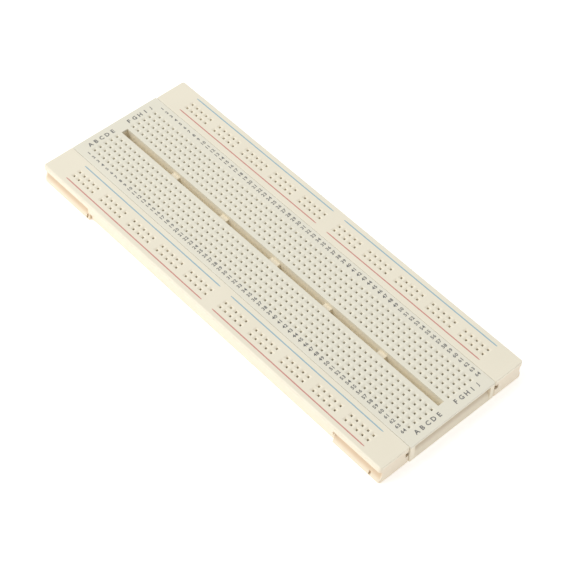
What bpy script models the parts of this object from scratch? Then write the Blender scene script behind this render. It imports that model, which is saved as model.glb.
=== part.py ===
# Solderless breadboard: a 64-row terminal strip with a bus strip keyed to each long side.
#
# Metres, +Z up. X runs across the strips, +Y points to row 1, and the origin is the middle
# of the underside. Columns A to E are on the -X side. Each strip is a moulded housing whose
# spring clips are pushed in from below and shut in by foam tape with a release liner.

import bpy
import bmesh
from math import pi
from mathutils import Vector

MM = 0.001

# The grid of contact points
PITCH = 2.54 * MM
ROWS = 64
CONTACTS = 5                       # contact points that one clip group joins
FIRST_COLUMN = 1.5 * PITCH         # columns E and F, from the middle of the board
GROUP_LENGTH = (CONTACTS - 1) * PITCH
BUS_COLUMN = 0.5 * PITCH           # each bus column, from the middle of its strip
BUS_GROUP_STEP = 6 * PITCH         # five contacts and a blank
BUS_GROUPS = 5                     # groups in each half of a bus column
BUS_HALF_CENTRE = 15.5 * PITCH     # middle of a half, from the middle of the strip

# Heights above the surface that the board lies on
LINER_TOP = 0.15 * MM
FOAM_BOTTOM = 0.40 * MM
HOUSING_BOTTOM = 0.45 * MM         # the rim around the tape
FOAM_TOP = 0.95 * MM
UNDERSIDE = 1.20 * MM              # of a housing, inside its rim
TIE_BOTTOM = 1.45 * MM
CLIP_BOTTOM = 1.65 * MM
TIE_TOP = 1.75 * MM
POCKET_TOP = 1.95 * MM
CLIP_TOP = 6.60 * MM
CAVITY_TOP = 7.10 * MM
BOARD_TOP = 8.50 * MM
OVERCUT = 0.10 * MM                # how far a cutter runs past the face that it opens

# Terminal strip housing
TERMINAL_HALF_WIDTH = 19.25 * MM
TERMINAL_HALF_LENGTH = 86.30 * MM
RIM_WIDTH = 1.40 * MM              # along the sides and the ends
POCKET_MARGIN = 0.45 * MM          # underside pocket, beyond the clip cavities
CHANNEL_HALF_WIDTH = 1.32 * MM
CHANNEL_HALF_LENGTH = 80.45 * MM
CHANNEL_FLOOR = 4.10 * MM
RIB_TOP = 6.50 * MM
RIB_STEP = 26.37 * MM
RIBS_EACH_SIDE = 2                 # on each side of the middle rib
RIB_THICKNESS = 3.25 * MM
MIDDLE_RIB_THICKNESS = 4.15 * MM
END_GROOVE_HALF_LENGTH = 17.30 * MM
END_GROOVE_DEPTH = 1.10 * MM
END_GROOVE_HEIGHTS = (1.20 * MM, 7.20 * MM)
GROOVE_TOE = 0.15 * MM             # depth left at the lower edge of every groove

# Bus strip housings
BUS_CENTRE = 25.95 * MM
BUS_HALF_WIDTH = 6.45 * MM
BUS_NEAR_END = -85.90 * MM         # from the middle of the strip's own contact points
BUS_FAR_END = 86.30 * MM
BUS_SLIP = {"left": 0.0, "right": -0.38 * MM}   # play of the keys that each strip has taken up
SIDE_GROOVE_DEPTH = 0.90 * MM
SIDE_GROOVE_HEIGHTS = (1.20 * MM, 6.20 * MM)
FAR_GROOVE_END = 60.90 * MM        # the side grooves run from here to the far end
NEAR_GROOVE_END = -64.40 * MM      # and from here to the near end
SIDE_STEP_TOP = 4.40 * MM          # between the grooves the foot of the wall steps in
SIDE_STEP_DEPTH = 1.20 * MM
BUS_RIM_WIDTH = 1.90 * MM          # along the sides of a bus strip

# Clips and the cavities that hold them
CLIP_LENGTH = GROUP_LENGTH + 1.24 * MM
CLIP_WIDTH = 1.30 * MM
CLIP_SHEET = 0.25 * MM
CLIP_PINCH = 0.22 * MM             # how far the top of each leaf leans in
TIE_WIDTH = 0.70 * MM
CAVITY_LENGTH = GROUP_LENGTH + 2.0 * MM
CAVITY_WIDTH = 1.90 * MM
SOCKET_SIZE = 1.00 * MM             # square opening over each contact
SLIT_LENGTH = GROUP_LENGTH + SOCKET_SIZE
BANK_ROWS = 4                      # row clips left joined on one piece of carrier

# Dovetail keys on the terminal strip, and their sockets in the bus strips
KEY_PLACES = (61.90 * MM, -81.30 * MM)
KEY_TOP = 5.60 * MM
KEY_DEPTH = 1.10 * MM
KEY_ROOT = 0.70 * MM
KEY_TIP = 2.20 * MM
SOCKET_TOP = 6.00 * MM
SOCKET_DEPTH = 1.50 * MM
SOCKET_MOUTH = 2.00 * MM
SOCKET_BACK = 4.20 * MM

# Foam tape and release liner
TAPE_MARGIN = 0.20 * MM            # between the tape and the rim around it

# Edges
OUTER_CORNER_RADIUS = 0.80 * MM
SEAM_CORNER_RADIUS = 0.35 * MM
TOP_EDGE_RADIUS = 0.30 * MM
EDGE_SEGMENTS = 2
SAME_PLACE = 1e-6


def clear_scene():
    for item in list(bpy.data.objects):
        bpy.data.objects.remove(item, do_unlink=True)


def new_collection(name):
    collection = bpy.data.collections.new(name)
    bpy.context.scene.collection.children.link(collection)
    return collection


def new_material(name, colour, roughness, metallic=0.0):
    material = bpy.data.materials.new(name)
    material.use_nodes = True
    shader = material.node_tree.nodes["Principled BSDF"]
    shader.inputs["Base Color"].default_value = (*colour, 1.0)
    shader.inputs["Roughness"].default_value = roughness
    shader.inputs["Metallic"].default_value = metallic
    material.diffuse_color = (*colour, 1.0)
    return material


def add_box(bm, x_range, y_range, z_range):
    low = Vector((min(x_range), min(y_range), min(z_range)))
    high = Vector((max(x_range), max(y_range), max(z_range)))
    size = high - low
    verts = bmesh.ops.create_cube(bm, size=1.0)["verts"]
    for vert in verts:
        vert.co = low + Vector([(part + 0.5) * span for part, span in zip(vert.co, size)])
    return verts


def add_dovetail(bm, root_x, tip_x, y, root_width, tip_width, z_range):
    verts = add_box(bm, (root_x, tip_x), (y - root_width / 2, y + root_width / 2), z_range)
    for vert in verts:
        if abs(vert.co.x - tip_x) < SAME_PLACE:
            vert.co.y = y + (vert.co.y - y) * tip_width / root_width


def add_groove(bm, axis, face, depth, along, heights):
    """Groove in an upright face, deep under its upper edge and running out towards the foot."""
    outward = 1 if face > 0 else -1
    across = (face - outward * depth, face + outward * OVERCUT)
    ranges = (across, along) if axis == 0 else (along, across)
    for vert in add_box(bm, *ranges, heights):
        inner = abs(vert.co[axis] - across[0]) < SAME_PLACE
        if inner and abs(vert.co.z - heights[0]) < SAME_PLACE:
            vert.co[axis] = face - outward * GROOVE_TOE


def round_edges(bm, radius, place, axis):
    """Rounds the edges whose two ends both lie at the given place on the given axis."""
    edges = [edge for edge in bm.edges
             if all(abs(vert.co[axis] - place) < SAME_PLACE for vert in edge.verts)]
    bmesh.ops.bevel(bm, geom=edges, offset=radius, segments=EDGE_SEGMENTS, profile=0.5,
                    affect="EDGES", clamp_overlap=True)


def round_corner(bm, radius, x):
    """Rounds the upright edges that stand at the given X."""
    edges = []
    for edge in bm.edges:
        low, high = (vert.co for vert in edge.verts)
        if abs(low.z - high.z) > SAME_PLACE and abs(low.x - x) < SAME_PLACE:
            edges.append(edge)
    bmesh.ops.bevel(bm, geom=edges, offset=radius, segments=EDGE_SEGMENTS, profile=0.5,
                    affect="EDGES", clamp_overlap=True)


def add_object(name, bm, collection, material=None, parent=None):
    bmesh.ops.recalc_face_normals(bm, faces=bm.faces)
    mesh = bpy.data.meshes.new(name)
    bm.to_mesh(mesh)
    bm.free()
    return add_copy(name, mesh, collection, material, parent)


def add_copy(name, mesh, collection, material=None, parent=None, location=(0, 0, 0), turn=0.0):
    item = bpy.data.objects.new(name, mesh)
    collection.objects.link(item)
    item.parent = parent
    item.location = location
    item.rotation_euler.z = turn
    if material and not mesh.materials:
        mesh.materials.append(material)
    return item


def add_cutter(name, bm, parent=None):
    cutter = add_object(name, bm, cutters, parent=parent)
    cutter.hide_render = True
    cutter.display_type = "WIRE"
    return cutter


def combine(item, other, operation):
    modifier = item.modifiers.new(other.name, "BOOLEAN")
    modifier.operation = operation
    modifier.solver = "EXACT"
    modifier.object = other


def row_y(row):
    return ((ROWS - 1) / 2 - row) * PITCH


def column_block(side):
    """Middle of the five columns on one side of the channel."""
    return side * (FIRST_COLUMN + GROUP_LENGTH / 2)


def span(centre, width):
    return centre - width / 2, centre + width / 2


def bus_groups():
    """Middle of each group of five along a bus column, for the far and the near half."""
    for half in (1, -1):
        for step in range(BUS_GROUPS):
            yield half * BUS_HALF_CENTRE + (step - (BUS_GROUPS - 1) / 2) * BUS_GROUP_STEP


def add_housing_block(name, x_range, y_range, corner_radii, material, parent=None):
    bm = bmesh.new()
    add_box(bm, x_range, y_range, (HOUSING_BOTTOM, BOARD_TOP))
    for x, radius in zip(x_range, corner_radii):
        round_corner(bm, radius, x)
    round_edges(bm, TOP_EDGE_RADIUS, BOARD_TOP, axis=2)
    return add_object(name, bm, parts, material, parent)


def terminal_keys():
    bm = bmesh.new()
    for side in (1, -1):
        wall = side * TERMINAL_HALF_WIDTH
        for y in KEY_PLACES:
            add_dovetail(bm, wall - side * OVERCUT, wall + side * KEY_DEPTH, y,
                         KEY_ROOT, KEY_TIP, (HOUSING_BOTTOM, KEY_TOP))
    return add_cutter("keys_to_join", bm)


def terminal_openings():
    """Slit over each row clip, upper part of the channel, groove in each end, tape recess."""
    bm = bmesh.new()
    for side in (1, -1):
        for row in range(ROWS):
            add_box(bm, span(column_block(side), SLIT_LENGTH), span(row_y(row), SOCKET_SIZE),
                    (CAVITY_TOP - OVERCUT, BOARD_TOP + OVERCUT))
    add_box(bm, span(0, 2 * CHANNEL_HALF_WIDTH), span(0, 2 * CHANNEL_HALF_LENGTH),
            (RIB_TOP, BOARD_TOP + OVERCUT))
    for end in (1, -1):
        add_groove(bm, 1, end * TERMINAL_HALF_LENGTH, END_GROOVE_DEPTH,
                   span(0, 2 * END_GROOVE_HALF_LENGTH), END_GROOVE_HEIGHTS)
    add_box(bm, span(0, 2 * (TERMINAL_HALF_WIDTH - RIM_WIDTH)),
            span(0, 2 * (TERMINAL_HALF_LENGTH - RIM_WIDTH)), (HOUSING_BOTTOM - OVERCUT, UNDERSIDE))
    return add_cutter("terminal_openings", bm)


def channel_bays():
    """Stretches of the channel between the ribs, as ranges along Y."""
    ribs = [(0.0, MIDDLE_RIB_THICKNESS)]
    for side in (1, -1):
        ribs += [(side * (step + 1) * RIB_STEP, RIB_THICKNESS) for step in range(RIBS_EACH_SIDE)]
    ribs.sort()
    edges = [-CHANNEL_HALF_LENGTH]
    for place, thickness in ribs:
        edges += span(place, thickness)
    edges.append(CHANNEL_HALF_LENGTH)
    return zip(edges[0::2], edges[1::2])


def terminal_cavities():
    """Cavity of each row clip, and the deep bays of the channel."""
    bm = bmesh.new()
    for side in (1, -1):
        for row in range(ROWS):
            add_box(bm, span(column_block(side), CAVITY_LENGTH), span(row_y(row), CAVITY_WIDTH),
                    (POCKET_TOP - OVERCUT, CAVITY_TOP))
    for bay in channel_bays():
        add_box(bm, span(0, 2 * CHANNEL_HALF_WIDTH), bay, (CHANNEL_FLOOR, RIB_TOP + OVERCUT))
    return add_cutter("terminal_cavities", bm)


def terminal_pockets():
    """Shallow pocket under each block of cavities, where the clips' carrier lies."""
    bm = bmesh.new()
    length = (ROWS - 1) * PITCH + CAVITY_WIDTH + 2 * POCKET_MARGIN
    for side in (1, -1):
        add_box(bm, span(column_block(side), CAVITY_LENGTH + 2 * POCKET_MARGIN), span(0, length),
                (HOUSING_BOTTOM - OVERCUT, POCKET_TOP))
    return add_cutter("terminal_pockets", bm)


def add_clip_sheet(bm, x, y):
    """One clip as an open sheet: a strip folded up along both long edges, pinched on top."""
    verts = add_box(bm, span(x, CLIP_LENGTH), span(y, CLIP_WIDTH), (CLIP_BOTTOM, CLIP_TOP))
    faces = {face for vert in verts for face in vert.link_faces}
    for vert in verts:
        if vert.co.z > CLIP_TOP - SAME_PLACE:
            vert.co.y += CLIP_PINCH if vert.co.y < y else -CLIP_PINCH
    spare = []
    for face in faces:
        middle = face.calc_center_median()
        if middle.z > CLIP_TOP - SAME_PLACE or abs(middle.x - x) > CLIP_LENGTH / 2 - SAME_PLACE:
            spare.append(face)
    bmesh.ops.delete(bm, geom=spare, context="FACES")


def clip_mesh(name, places, tie_length, tie_width, material):
    """Mesh of several clips on one strip of carrier, to be shared by the copies."""
    bm = bmesh.new()
    for x, y in places:
        add_clip_sheet(bm, x, y)
    sheet = add_object(name, bm, parts, material)
    wall = sheet.modifiers.new("sheet_metal", "SOLIDIFY")
    wall.thickness = CLIP_SHEET
    wall.offset = -1.0
    wall.use_even_offset = True
    bm = bmesh.new()
    add_box(bm, span(0, tie_length), span(0, tie_width), (TIE_BOTTOM, TIE_TOP))
    tie = add_cutter(name + "_carrier", bm)
    combine(sheet, tie, "UNION")
    graph = bpy.context.evaluated_depsgraph_get()
    mesh = bpy.data.meshes.new_from_object(sheet.evaluated_get(graph))
    mesh.name = name
    bpy.data.objects.remove(sheet, do_unlink=True)
    bpy.data.objects.remove(tie, do_unlink=True)
    return mesh


def add_row_clips(material):
    """Clips of the terminal strip, in banks of BANK_ROWS rows on each side."""
    offsets = [((BANK_ROWS - 1) / 2 - row) * PITCH for row in range(BANK_ROWS)]
    tie = (BANK_ROWS - 1) * PITCH + TIE_WIDTH
    mesh = clip_mesh("row_clips", [(0.0, y) for y in offsets], TIE_WIDTH, tie, material)
    for side, columns in ((-1, "ae"), (1, "fj")):
        for first in range(0, ROWS, BANK_ROWS):
            name = f"row_clips_{columns}_{first + 1:02d}_{first + BANK_ROWS:02d}"
            middle = row_y(first + (BANK_ROWS - 1) / 2)
            add_copy(name, mesh, parts, location=(column_block(side), middle, 0))


def add_tape(name, x_range, y_range, foam_material, liner_material, parent=None):
    for kind, z_range, material in (("foam_tape", (FOAM_BOTTOM, FOAM_TOP), foam_material),
                                    ("release_liner", (0.0, LINER_TOP), liner_material)):
        bm = bmesh.new()
        add_box(bm, x_range, y_range, z_range)
        add_object(f"{name}_{kind}", bm, parts, material, parent)


def bus_contacts():
    """Every contact point along a bus column."""
    for y in bus_groups():
        for contact in range(CONTACTS):
            yield y + (contact - (CONTACTS - 1) / 2) * PITCH


def bus_openings(name, parent):
    """Square socket over each contact, grooves at the ends of both sides, and tape recess."""
    bm = bmesh.new()
    for column in (BUS_COLUMN, -BUS_COLUMN):
        for y in bus_contacts():
            add_box(bm, span(column, SOCKET_SIZE), span(y, SOCKET_SIZE),
                    (CAVITY_TOP - OVERCUT, BOARD_TOP + OVERCUT))
    for side in (1, -1):
        for along in ((FAR_GROOVE_END, BUS_FAR_END + OVERCUT),
                      (BUS_NEAR_END - OVERCUT, NEAR_GROOVE_END)):
            add_groove(bm, 0, side * BUS_HALF_WIDTH, SIDE_GROOVE_DEPTH, along,
                       SIDE_GROOVE_HEIGHTS)
    add_box(bm, span(0, 2 * (BUS_HALF_WIDTH - BUS_RIM_WIDTH)),
            (BUS_NEAR_END + RIM_WIDTH, BUS_FAR_END - RIM_WIDTH),
            (HOUSING_BOTTOM - OVERCUT, UNDERSIDE))
    return add_cutter(name + "_openings", bm, parent)


def bus_cavities(name, parent):
    """Cavity of each long clip, and the stepped-in foot of both sides."""
    bm = bmesh.new()
    length = (BUS_GROUPS - 1) * BUS_GROUP_STEP + CAVITY_LENGTH
    for column in (BUS_COLUMN, -BUS_COLUMN):
        for half in (1, -1):
            add_box(bm, span(column, CAVITY_WIDTH), span(half * BUS_HALF_CENTRE, length),
                    (HOUSING_BOTTOM - OVERCUT, CAVITY_TOP))
    for side in (1, -1):
        wall = side * BUS_HALF_WIDTH
        add_box(bm, (wall - side * SIDE_STEP_DEPTH, wall + side * OVERCUT),
                (NEAR_GROOVE_END, FAR_GROOVE_END), (HOUSING_BOTTOM - OVERCUT, SIDE_STEP_TOP))
    return add_cutter(name + "_cavities", bm, parent)


def bus_sockets(name, parent):
    """Dovetail sockets in both sides, open at the bottom so that the strip lifts off."""
    bm = bmesh.new()
    for side in (1, -1):
        wall = side * BUS_HALF_WIDTH
        for y in KEY_PLACES:
            add_dovetail(bm, wall + side * OVERCUT, wall - side * SOCKET_DEPTH, y,
                         SOCKET_MOUTH, SOCKET_BACK, (HOUSING_BOTTOM - OVERCUT, SOCKET_TOP))
    return add_cutter(name + "_sockets", bm, parent)


def add_bus_strip(name, side, rails, rail_mesh, plastic, foam, liner):
    """One bus strip on an empty that stands on the line along which the strip lifts off."""
    lift = bpy.data.objects.new(name + "_lift", None)
    lift.empty_display_size = 5 * MM
    parts.objects.link(lift)
    lift.location = (side * BUS_CENTRE, BUS_SLIP[name], 0)
    radii = (SEAM_CORNER_RADIUS, OUTER_CORNER_RADIUS)[::side]
    housing = add_housing_block(name + "_bus_housing", (-BUS_HALF_WIDTH, BUS_HALF_WIDTH),
                                (BUS_NEAR_END, BUS_FAR_END), radii, plastic, lift)
    for cutter in (bus_openings(name, lift), bus_cavities(name, lift), bus_sockets(name, lift)):
        combine(housing, cutter, "DIFFERENCE")
    for rail, column in zip(rails, (-BUS_COLUMN, BUS_COLUMN)):
        for half, place in (("far", BUS_HALF_CENTRE), ("near", -BUS_HALF_CENTRE)):
            add_copy(f"{name}_{rail}_rail_clip_{half}", rail_mesh, parts, parent=lift,
                     location=(column, place, 0), turn=pi / 2)
    half_width = BUS_HALF_WIDTH - BUS_RIM_WIDTH - TAPE_MARGIN
    inset = RIM_WIDTH + TAPE_MARGIN
    add_tape(name + "_bus", (-half_width, half_width),
             (BUS_NEAR_END + inset, BUS_FAR_END - inset), foam, liner, lift)


def add_terminal_strip(plastic, metal, foam, liner):
    housing = add_housing_block("terminal_strip_housing",
                                (-TERMINAL_HALF_WIDTH, TERMINAL_HALF_WIDTH),
                                (-TERMINAL_HALF_LENGTH, TERMINAL_HALF_LENGTH),
                                (SEAM_CORNER_RADIUS, SEAM_CORNER_RADIUS), plastic)
    combine(housing, terminal_keys(), "UNION")
    for cutter in (terminal_openings(), terminal_cavities(), terminal_pockets()):
        combine(housing, cutter, "DIFFERENCE")
    add_row_clips(metal)
    half_width = TERMINAL_HALF_WIDTH - RIM_WIDTH - TAPE_MARGIN
    half_length = TERMINAL_HALF_LENGTH - RIM_WIDTH - TAPE_MARGIN
    add_tape("terminal", (-half_width, half_width), (-half_length, half_length), foam, liner)


def add_bus_strips(plastic, metal, foam, liner):
    groups = [((step - (BUS_GROUPS - 1) / 2) * BUS_GROUP_STEP, 0.0) for step in range(BUS_GROUPS)]
    length = (BUS_GROUPS - 1) * BUS_GROUP_STEP + CLIP_LENGTH
    rail_mesh = clip_mesh("rail_clip", groups, length, TIE_WIDTH, metal)
    for name, side in (("left", -1), ("right", 1)):
        add_bus_strip(name, side, ("red", "blue"), rail_mesh, plastic, foam, liner)


clear_scene()
parts = new_collection("solderless_breadboard")
cutters = new_collection("cutters")

terminal_plastic = new_material("terminal_plastic", (0.80, 0.77, 0.66), 0.45)
bus_plastic = new_material("bus_plastic", (0.84, 0.79, 0.65), 0.42)
row_clip_metal = new_material("row_clip_metal", (0.62, 0.61, 0.58), 0.30, 1.0)
rail_clip_metal = new_material("rail_clip_metal", (0.64, 0.62, 0.57), 0.30, 1.0)
foam_tape = new_material("foam_tape", (0.88, 0.88, 0.86), 0.90)
release_liner = new_material("release_liner", (0.90, 0.86, 0.74), 0.55)

add_terminal_strip(terminal_plastic, row_clip_metal, foam_tape, release_liner)
add_bus_strips(bus_plastic, rail_clip_metal, foam_tape, release_liner)
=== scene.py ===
import random
from math import cos, pi, radians, sin

import bmesh
import bpy
from mathutils import Matrix, Vector


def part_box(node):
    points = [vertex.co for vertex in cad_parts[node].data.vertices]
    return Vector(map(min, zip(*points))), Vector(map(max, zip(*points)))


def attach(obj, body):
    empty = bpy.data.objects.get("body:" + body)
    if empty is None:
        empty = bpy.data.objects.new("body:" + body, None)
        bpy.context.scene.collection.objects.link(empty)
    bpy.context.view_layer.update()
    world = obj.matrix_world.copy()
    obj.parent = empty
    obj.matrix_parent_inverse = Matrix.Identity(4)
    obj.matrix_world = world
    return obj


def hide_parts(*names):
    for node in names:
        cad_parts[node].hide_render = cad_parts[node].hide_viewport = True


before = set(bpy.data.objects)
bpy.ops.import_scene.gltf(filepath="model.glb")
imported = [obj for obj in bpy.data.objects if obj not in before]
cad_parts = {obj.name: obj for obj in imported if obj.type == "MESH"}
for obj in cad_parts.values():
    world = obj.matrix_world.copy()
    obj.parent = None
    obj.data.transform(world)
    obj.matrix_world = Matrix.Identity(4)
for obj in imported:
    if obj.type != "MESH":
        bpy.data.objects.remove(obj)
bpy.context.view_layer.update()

mm = 0.001
pitch = 2.54 * mm
weldDistance = 1e-7

# Places that every piece shares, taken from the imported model
terminalLow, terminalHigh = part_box("terminal_strip_housing")
boardTop = terminalHigh.z
housingBottom = terminalLow.z
board = {
    "rows": 64,
    "contacts": 5,
    "firstColumn": 1.5 * pitch,  # columns E and F, from the middle of the board
    "busColumn": 0.5 * pitch,  # each rail, from the middle of its strip
    "busRows": 50,
    "busFirstRow": 29.5 * pitch,  # from the middle of the strip's own sockets
    "railSpan": 24 * pitch,  # between the end sockets of one half of a rail
    "railMiddle": 15.5 * pitch,  # of that half, from the same middle
    "cavityTop": boardTop - 1.40 * mm,
    "overcut": 0.05 * mm,  # how far a cutter runs past the face it opens
}
contactSpan = (board["contacts"] - 1) * pitch


def rowY(row):
    return ((board["rows"] - 1) / 2 - row) * pitch


def blockX(side):
    return side * (board["firstColumn"] + contactSpan / 2)


def boxLoops(xRange, yRange, zRange):
    corners = ((0, 0), (1, 0), (1, 1), (0, 1))
    xs, ys = sorted(xRange), sorted(yRange)
    return [[(xs[i], ys[j], z) for i, j in corners] for z in sorted(zRange)]


def stackLoops(bm, loops):
    # a closed solid from outlines that lie one above another
    rings = [[bm.verts.new(point) for point in loop] for loop in loops]
    count = len(rings[0])
    for lower, upper in zip(rings, rings[1:]):
        for i in range(count):
            j = (i + 1) % count
            bm.faces.new((lower[i], lower[j], upper[j], upper[i]))
    bm.faces.new(rings[0][::-1])
    bm.faces.new(rings[-1])


def span(centre, width):
    return centre - width / 2, centre + width / 2


def toMesh(name, bm):
    bmesh.ops.recalc_face_normals(bm, faces=bm.faces)
    mesh = bpy.data.meshes.new(name)
    bm.to_mesh(mesh)
    bm.free()
    return mesh


def solidMesh(name, *solids):
    bm = bmesh.new()
    for loops in solids:
        stackLoops(bm, loops)
    return toMesh(name, bm)


def paint(item, material):
    item.data.materials.clear()
    item.data.materials.append(material)


def addObject(name, data, material=None):
    item = bpy.data.objects.new(name, data)
    bpy.context.scene.collection.objects.link(item)
    if material:
        paint(item, material)
    return item


def solidObject(name, *solids):
    return addObject(name, solidMesh(name, *solids))


def evaluatedMesh(item):
    graph = bpy.context.evaluated_depsgraph_get()
    return bpy.data.meshes.new_from_object(item.evaluated_get(graph))


def settle(item):
    # the modifiers' result becomes the object's own mesh
    mesh = evaluatedMesh(item)
    item.modifiers.clear()
    old, item.data = item.data, mesh
    bpy.data.meshes.remove(old)
    return item


def discard(item):
    mesh = item.data
    bpy.data.objects.remove(item, do_unlink=True)
    if mesh.users == 0:
        bpy.data.meshes.remove(mesh)


def combine(item, others, operation):
    for other in others:
        modifier = item.modifiers.new(other.name, "BOOLEAN")
        modifier.operation = operation
        modifier.solver = "MANIFOLD"
        modifier.object = other
    settle(item)
    for other in others:
        discard(other)


def shadeEdges(mesh, sharpest=radians(35), flattest=radians(0.5)):
    # curved edges are shaded smooth, and flat faces stay exactly flat up to them
    bm = bmesh.new()
    bm.from_mesh(mesh)
    bmesh.ops.remove_doubles(bm, verts=bm.verts, dist=weldDistance)
    bm.normal_update()
    for face in bm.faces:
        face.smooth = True
    for edge in bm.edges:
        if len(edge.link_faces) != 2:
            edge.smooth = False
            continue
        normals = [face.normal for face in edge.link_faces]
        flat = [max(abs(part) for part in normal) > 0.99999 for normal in normals]
        turn = normals[0].angle(normals[1], 0.0)
        edge.smooth = turn < (sharpest if flat[0] == flat[1] else flattest)
    bm.to_mesh(mesh)
    bm.free()


def linkOrSet(tree, socket, value):
    if isinstance(value, bpy.types.NodeSocket):
        tree.links.new(value, socket)
    elif value is not None:
        socket.default_value = value


def maths(tree, operation, *values, clamp=False):
    node = tree.nodes.new("ShaderNodeMath")
    node.operation = operation
    node.use_clamp = clamp
    for socket, value in zip(node.inputs, values):
        linkOrSet(tree, socket, value)
    return node.outputs[0]


def vectorMaths(tree, operation, first, second):
    node = tree.nodes.new("ShaderNodeVectorMath")
    node.operation = operation
    linkOrSet(tree, node.inputs[0], first)
    linkOrSet(tree, node.inputs["Scale" if operation == "SCALE" else 1], second)
    return node.outputs["Value" if operation == "DOT_PRODUCT" else 0]


def newTree(name, kind, inputs, outputs, outputType="Float"):
    # each input has its first value, or its type where there is no value to give
    tree = bpy.data.node_groups.new(name, kind)
    types = {float: "Float", int: "Int", tuple: "Vector"}
    for label, value in inputs.items():
        known = types.get(type(value))
        socket = tree.interface.new_socket(label, in_out="INPUT",
                                           socket_type="NodeSocket" + (known or value))
        if known:
            socket.default_value = value
    for label in outputs:
        tree.interface.new_socket(label, in_out="OUTPUT", socket_type="NodeSocket" + outputType)
    return tree, tree.nodes.new("NodeGroupInput").outputs, tree.nodes.new("NodeGroupOutput").inputs


def valueName(socket):
    # "Half Width" is given as halfWidth
    key = socket.name.replace(" ", "")
    return key[0].lower() + key[1:]


def repeatTree():
    # copies of the incoming mesh on a grid, with a wider gap after every group and every half
    tree, given, result = newTree("repeatWithGaps", "GeometryNodeTree", {
        "Geometry": "Geometry",
        "Start": (0, 0, 0),
        "Across": 1,
        "Along": 1,
        "Step": pitch,
        "Across Group": 5,
        "Across Gap": 0.0,
        "Along Group": 5,
        "Along Gap": 0.0,
        "Half": 25,
        "Half Gap": 0.0,
        "Wobble": 0.0,
        "Seed": 1,
        "Material": "Material",
    }, ["Geometry"], "Geometry")
    index = tree.nodes.new("GeometryNodeInputIndex").outputs[0]

    def wholes(value, size):
        return maths(tree, "FLOOR", maths(tree, "DIVIDE", maths(tree, "ADD", value, 0.5), size))

    along = wholes(index, given["Across"])
    across = maths(tree, "SUBTRACT", index, maths(tree, "MULTIPLY", along, given["Across"]))

    def place(count, *gaps):
        total = maths(tree, "MULTIPLY", count, given["Step"])
        for group, gap in gaps:
            extra = maths(tree, "MULTIPLY", wholes(count, given[group]), given[gap])
            total = maths(tree, "ADD", total, extra)
        return total

    spot = tree.nodes.new("ShaderNodeCombineXYZ")
    tree.links.new(place(across, ("Across Group", "Across Gap")), spot.inputs[0])
    down = place(along, ("Along Group", "Along Gap"), ("Half", "Half Gap"))
    tree.links.new(maths(tree, "MULTIPLY", down, -1.0), spot.inputs[1])
    moved = vectorMaths(tree, "ADD", spot.outputs[0], given["Start"])
    draw = tree.nodes.new("FunctionNodeRandomValue")
    draw.data_type = "FLOAT_VECTOR"
    draw.inputs[0].default_value = (-1, -1, 0)
    draw.inputs[1].default_value = (1, 1, 0)
    tree.links.new(given["Seed"], draw.inputs["Seed"])
    stray = vectorMaths(tree, "SCALE", draw.outputs[0], given["Wobble"])
    points = tree.nodes.new("GeometryNodePoints")
    tree.links.new(maths(tree, "MULTIPLY", given["Across"], given["Along"]), points.inputs["Count"])
    tree.links.new(vectorMaths(tree, "ADD", moved, stray), points.inputs["Position"])
    copies = tree.nodes.new("GeometryNodeInstanceOnPoints")
    tree.links.new(points.outputs[0], copies.inputs["Points"])
    tree.links.new(given["Geometry"], copies.inputs["Instance"])
    real = tree.nodes.new("GeometryNodeRealizeInstances")
    tree.links.new(copies.outputs[0], real.inputs[0])
    finish = tree.nodes.new("GeometryNodeSetMaterial")
    tree.links.new(real.outputs[0], finish.inputs["Geometry"])
    tree.links.new(given["Material"], finish.inputs["Material"])
    tree.links.new(finish.outputs[0], result[0])
    return tree


repeats = repeatTree()


def repeat(name, mesh, **values):
    item = addObject(name, mesh)
    modifier = item.modifiers.new("repeat", "NODES")
    modifier.node_group = repeats
    for socket in repeats.interface.items_tree:
        if socket.in_out == "INPUT" and valueName(socket) in values:
            modifier[socket.identifier] = values[valueName(socket)]
    return settle(item)


def textureNode(tree, kind, vector, scale, **inputs):
    node = tree.nodes.new(kind)
    linkOrSet(tree, node.inputs["Vector"], vector)
    linkOrSet(tree, node.inputs["Scale"], scale)
    for label, value in inputs.items():
        linkOrSet(tree, node.inputs[label], value)
    return node


def mixColour(tree, factor, first, second, blend="MIX"):
    node = tree.nodes.new("ShaderNodeMix")
    node.data_type = "RGBA"
    node.blend_type = blend
    for socket, value in zip((node.inputs[0], node.inputs[6], node.inputs[7]),
                             (factor, first, second)):
        linkOrSet(tree, socket, value)
    return node.outputs[2]


def remap(tree, value, low, high, outLow=0.0, outHigh=1.0):
    node = tree.nodes.new("ShaderNodeMapRange")
    node.interpolation_type = "SMOOTHSTEP"
    for socket, part in zip(node.inputs, (value, low, high, outLow, outHigh)):
        linkOrSet(tree, socket, part)
    return node.outputs[0]


# ranges go from where a pattern's mask is nought to where it is one
pattern = {
    "pitWeight": 0.35,
    "flowRange": (0.3, 0.7),
    "speckFrom": 0.93,
    "speckRange": (0.16, 0.08),
    "wearScale": 260.0,
    "wearRange": (0.35, 0.65),
    "inkScale": 120.0,
    "inkGrainRange": (0.45, 0.75),
    "inkPatchRange": (0.3, 0.8),
    "sheetStretch": (0.04, 1.0, 1.0),
    "tarnishRange": (0.45, 0.7),
    "cellRange": (0.55, 0.15),
}


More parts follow.
